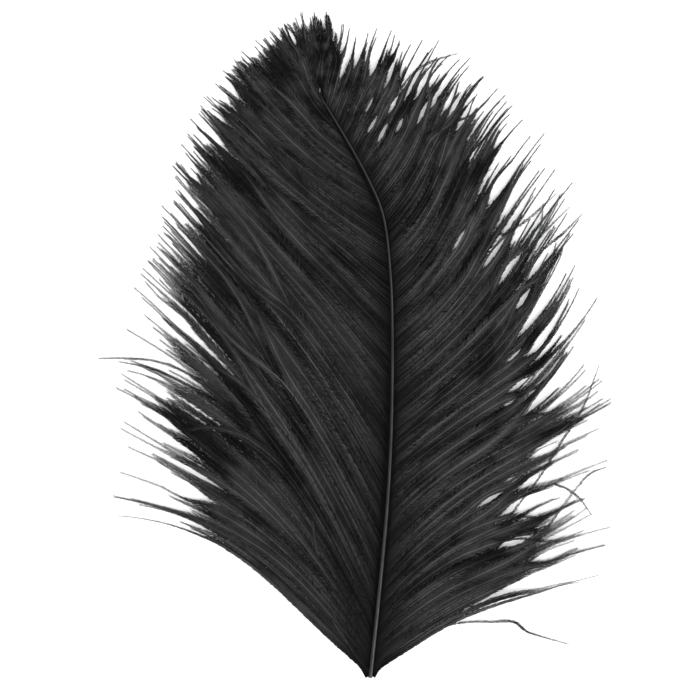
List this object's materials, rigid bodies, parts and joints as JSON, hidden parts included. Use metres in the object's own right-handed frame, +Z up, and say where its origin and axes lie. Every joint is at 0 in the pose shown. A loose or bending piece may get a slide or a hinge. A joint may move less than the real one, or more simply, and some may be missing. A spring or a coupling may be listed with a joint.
{
  "type": "ostrich feather",
  "caption": "Trimmed top of an ostrich plume, dyed black: a thin bowed shaft with two soft vanes of loose barbs that end in pointed locks, lying flat.",
  "frame": {"origin": "centre of the feather's bounding box, on the surface it lies on", "axes": "+X across the feather to its right vane, +Y along it from the cut base to the tip, +Z up from the surface"},
  "size_m": [0.1572, 0.2001, 0.0067],
  "materials": {
    "horn_shaft": "dyed horn, warm dark grey, satin, paler at the cut base",
    "dyed_barbs": "fine fibres dyed black, soft satin along the barbs"
  },
  "bodies": {
    "root": {"shaft": "horn_shaft", "left_vane": "dyed_barbs", "right_vane": "dyed_barbs"}
  },
  "joints": []
}
